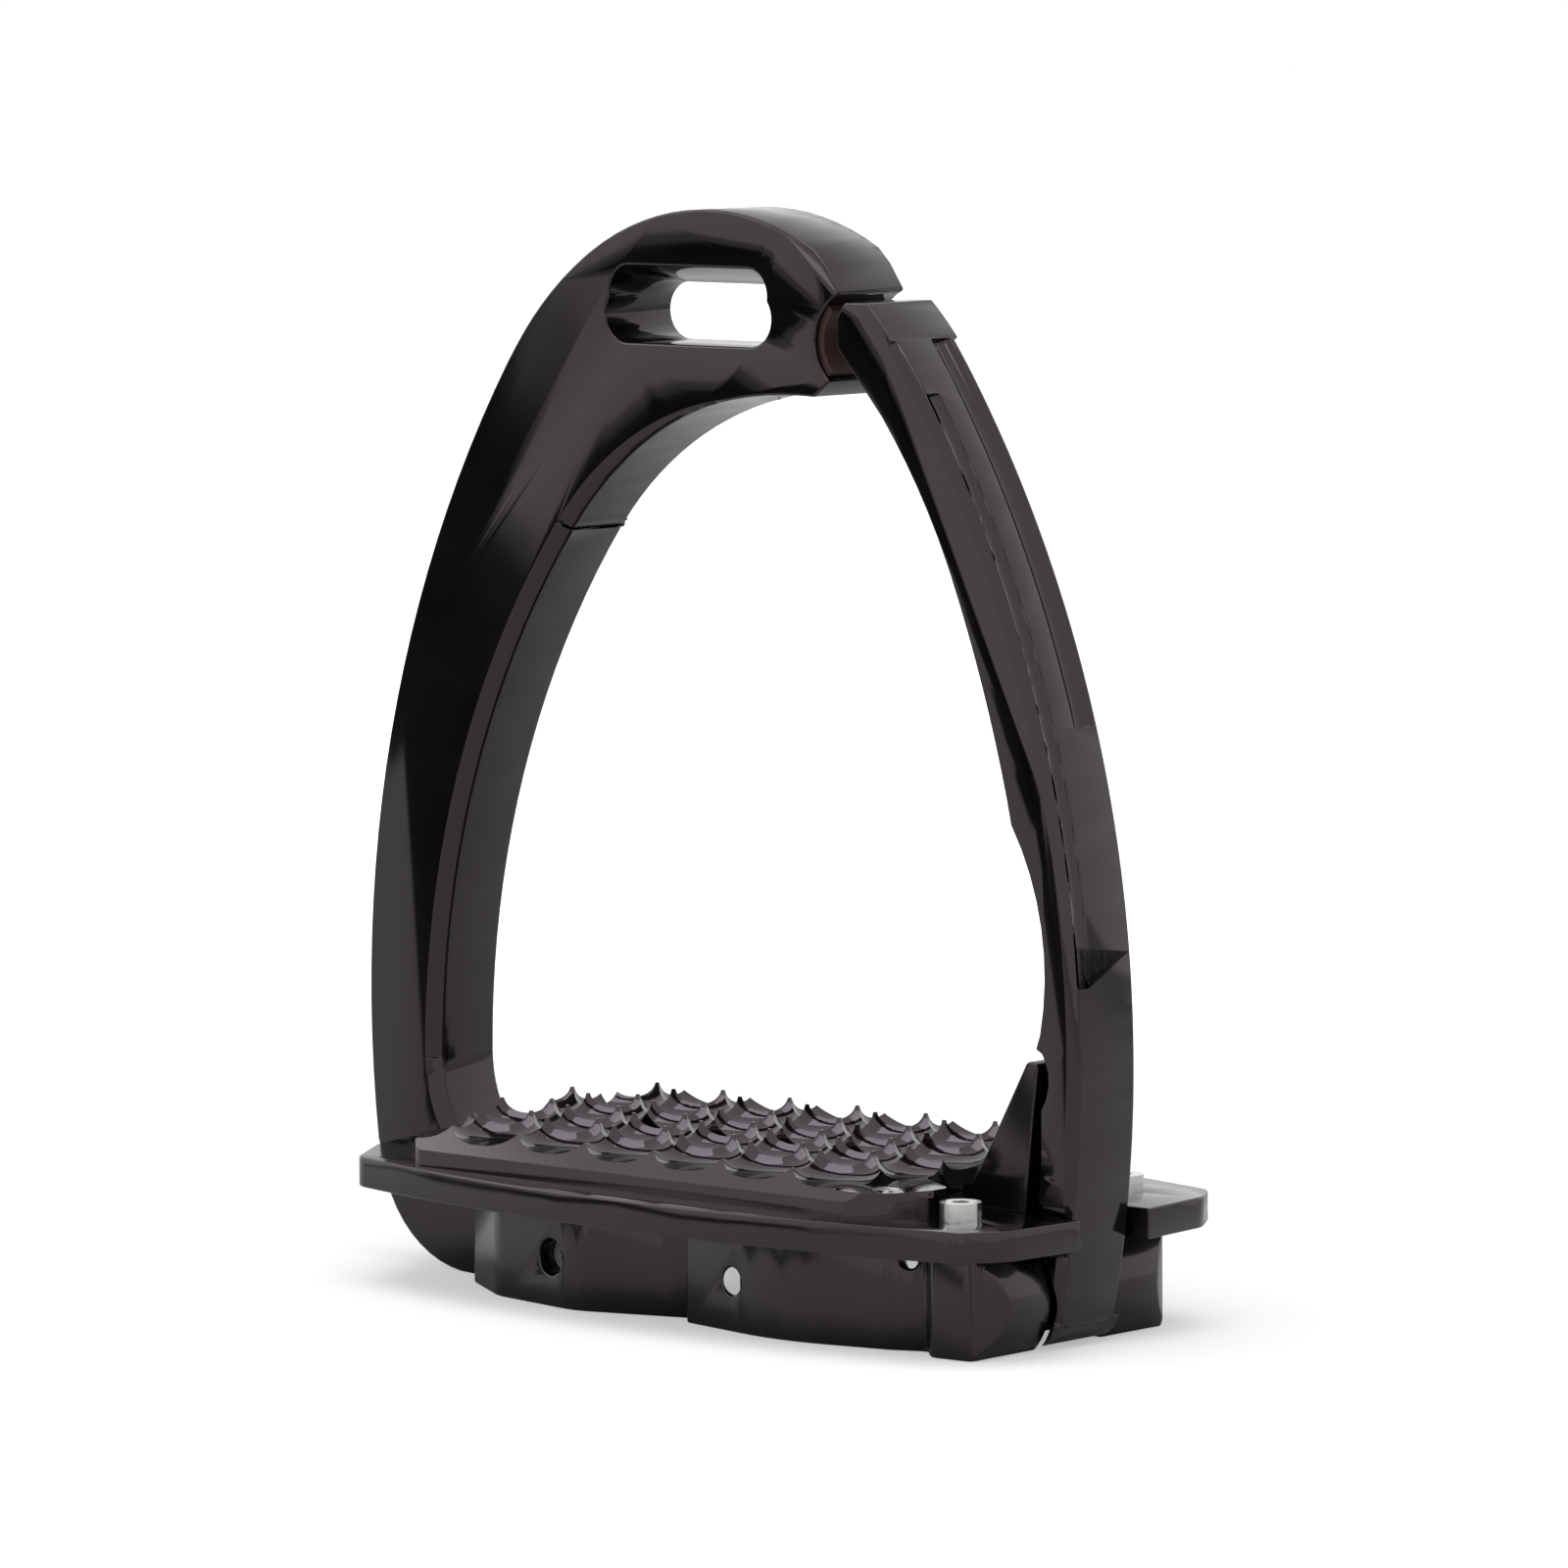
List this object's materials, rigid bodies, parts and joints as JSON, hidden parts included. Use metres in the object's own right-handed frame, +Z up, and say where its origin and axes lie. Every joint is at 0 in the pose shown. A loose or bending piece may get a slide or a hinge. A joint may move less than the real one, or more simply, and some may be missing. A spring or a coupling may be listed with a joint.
{
  "type": "safety stirrup iron",
  "caption": "Safety stirrup iron with a hinged outer arm, a trigger lever beside the foot, a spiked tread plate and a slot for the leather.",
  "frame": {"origin": "on the ground plane under the middle of the two arms, half way through the depth of the arms", "axes": "+X across the foot towards the opening outer arm, +Y from the toe side to the heel side, +Z up to the leather slot"},
  "size_m": [0.1406, 0.0694, 0.161],
  "materials": {
    "frame_black": "polished black anodised",
    "base_black": "polished black anodised",
    "platform_black": "polished black anodised",
    "tread_black": "polished black anodised",
    "arm_black": "polished black anodised",
    "lever_black": "polished black anodised",
    "pad_rubber": "matt",
    "fastener_steel": "polished",
    "pin_steel": "polished",
    "spring_steel": "polished",
    "bush_bronze": "sintered"
  },
  "bodies": {
    "base": {"frame": "frame_black", "nose_pad": "pad_rubber", "base_block": "base_black", "platform": "platform_black", "tread": "tread_black", "tread_screws": "fastener_steel", "platform_screws": "fastener_steel", "foot_screws": "fastener_steel", "foot_dowels": "pin_steel", "foot_set_screw": "fastener_steel", "cross_pin": "pin_steel", "hinge_pin": "pin_steel", "hinge_spacers": "pin_steel", "hinge_pin_lock": "fastener_steel", "lever_pin": "pin_steel", "lever_springs": "spring_steel", "plunger_spring": "spring_steel", "spring_seat": "pin_steel"},
    "arm": {"outer_arm": "arm_black", "hub_bushes": "bush_bronze"},
    "lever": {"trigger_lever": "lever_black"},
    "plunger": {"plunger": "pin_steel"}
  },
  "joints": [
    {"name": "arm_hinge", "type": "hinge", "parent": "base", "child": "arm", "pos_m": [0.055, 0, 0.0074], "axis": [0, 1, 0], "range_deg": [0, 90]},
    {"name": "lever_hinge", "type": "hinge", "parent": "base", "child": "lever", "pos_m": [0.049, 0, 0.0134], "axis": [0, 1, 0], "range_deg": [0, 2.4], "stiffness_Nm_per_rad": 0.5, "springref_deg": -5.73},
    {"name": "plunger_slide", "type": "slide", "parent": "base", "child": "plunger", "axis": [-1, 0, 0], "range_m": [0, 0.0016], "deforming": ["plunger_spring"]}
  ],
  "couplings": [
    {"joint": "plunger_slide", "follows": "arm_hinge", "m_per_rad": 0.00095493}
  ]
}
